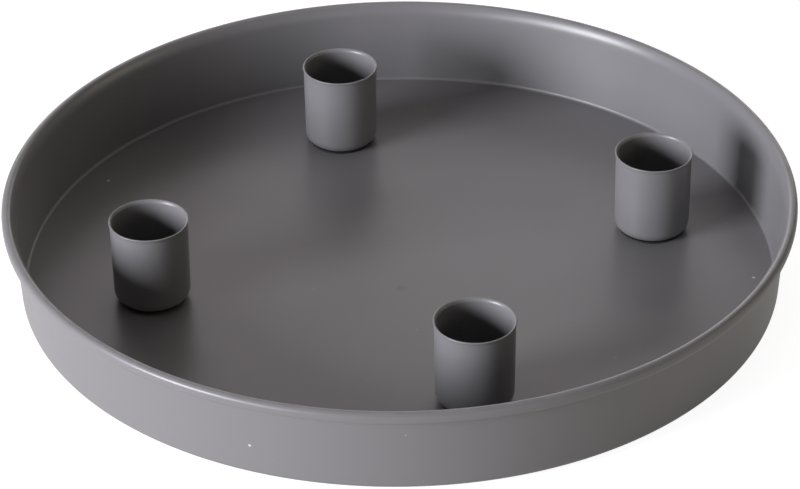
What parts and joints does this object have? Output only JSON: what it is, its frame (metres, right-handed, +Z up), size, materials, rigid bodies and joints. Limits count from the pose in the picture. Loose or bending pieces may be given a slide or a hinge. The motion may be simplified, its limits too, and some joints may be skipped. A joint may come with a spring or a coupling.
{
  "type": "candle plate",
  "caption": "Round sheet-metal candle plate with a low flared wall, an outward curled rim and loose magnetic cups for dinner candles.",
  "frame": {"origin": "middle of the plate, on the surface it stands on", "axes": "+Z up, along the plate's axis; the picture looks along +Y from above, with +X to its right"},
  "size_m": [0.25, 0.25, 0.0309],
  "materials": {
    "tray_paint": "matt mid-grey powder coat",
    "cup_paint": "matt mid-grey powder coat",
    "magnet": "dark flexible magnet sheet",
    "felt": "black felt"
  },
  "bodies": {
    "plate": {"tray": "tray_paint", "felt_feet": "felt"},
    "cup_1": {"candle_cup_1": "cup_paint", "cup_magnet_1": "magnet"},
    "cup_2": {"candle_cup_2": "cup_paint", "cup_magnet_2": "magnet"},
    "cup_3": {"candle_cup_3": "cup_paint", "cup_magnet_3": "magnet"},
    "cup_4": {"candle_cup_4": "cup_paint", "cup_magnet_4": "magnet"}
  },
  "joints": [
    {"name": "cup_1_lift", "type": "slide", "parent": "plate", "child": "cup_1", "axis": [0, 0, 1], "range_m": [0, 0.04]},
    {"name": "cup_2_lift", "type": "slide", "parent": "plate", "child": "cup_2", "axis": [0, 0, 1], "range_m": [0, 0.04]},
    {"name": "cup_3_lift", "type": "slide", "parent": "plate", "child": "cup_3", "axis": [0, 0, 1], "range_m": [0, 0.04]},
    {"name": "cup_4_lift", "type": "slide", "parent": "plate", "child": "cup_4", "axis": [0, 0, 1], "range_m": [0, 0.04]}
  ]
}
